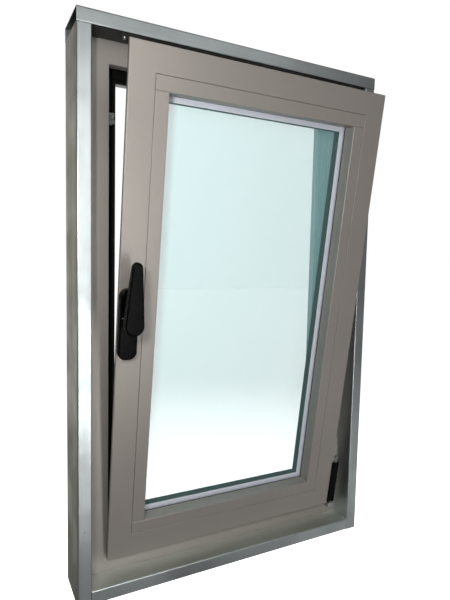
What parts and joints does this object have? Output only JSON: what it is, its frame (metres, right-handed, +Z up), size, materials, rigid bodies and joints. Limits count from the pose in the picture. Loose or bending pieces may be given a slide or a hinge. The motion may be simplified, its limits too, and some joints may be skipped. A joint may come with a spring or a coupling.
{
  "type": "tilt-and-turn window",
  "caption": "Inward-opening aluminium window with double glazing, tilted in at the top, set in a box-section sub-frame.",
  "frame": {"origin": "middle of the sub-frame sill's flat underside", "axes": "+X to the right seen from the room, +Y to the outside, +Z up"},
  "size_m": [0.635, 0.1961, 1.02],
  "materials": {
    "mill_aluminium": "mill finish with fine drawn grain",
    "taupe_powder_coat": "satin powder coat",
    "black_rubber": "matte",
    "clear_glass": "clear, faint green",
    "spacer_metal": "satin",
    "black_fittings": "satin black",
    "zinc_steel": "zinc plated"
  },
  "bodies": {
    "root": {"bead_bottom": "taupe_powder_coat", "bead_left": "taupe_powder_coat", "bead_right": "taupe_powder_coat", "bead_top": "taupe_powder_coat", "frame_centre_gasket": "black_rubber", "frame_head": "taupe_powder_coat", "frame_jamb_left": "taupe_powder_coat", "frame_jamb_right": "taupe_powder_coat", "frame_sill": "taupe_powder_coat", "glass_inner_pane": "clear_glass", "glass_outer_pane": "clear_glass", "glass_spacer": "spacer_metal", "glazing_gasket_inner": "black_rubber", "glazing_gasket_outer": "black_rubber", "handle_base": "black_fittings", "handle_lever": "black_fittings", "lock_drive_block": "zinc_steel", "lock_keeper": "zinc_steel", "lower_hinge_bearing": "zinc_steel", "lower_hinge_cover": "black_fittings", "lower_hinge_pin": "zinc_steel", "lower_hinge_strap": "zinc_steel", "sash_bottom_rail": "taupe_powder_coat", "sash_hinge_stile": "taupe_powder_coat", "sash_lock_stile": "taupe_powder_coat", "sash_overlap_gasket": "black_rubber", "sash_top_rail": "taupe_powder_coat", "stay_arm": "zinc_steel", "stay_frame_bearing": "zinc_steel", "stay_sash_plate": "zinc_steel", "stay_slider": "zinc_steel", "subframe_head": "mill_aluminium", "subframe_jamb_left": "mill_aluminium", "subframe_jamb_right": "mill_aluminium", "subframe_sill": "mill_aluminium"}
  },
  "joints": []
}
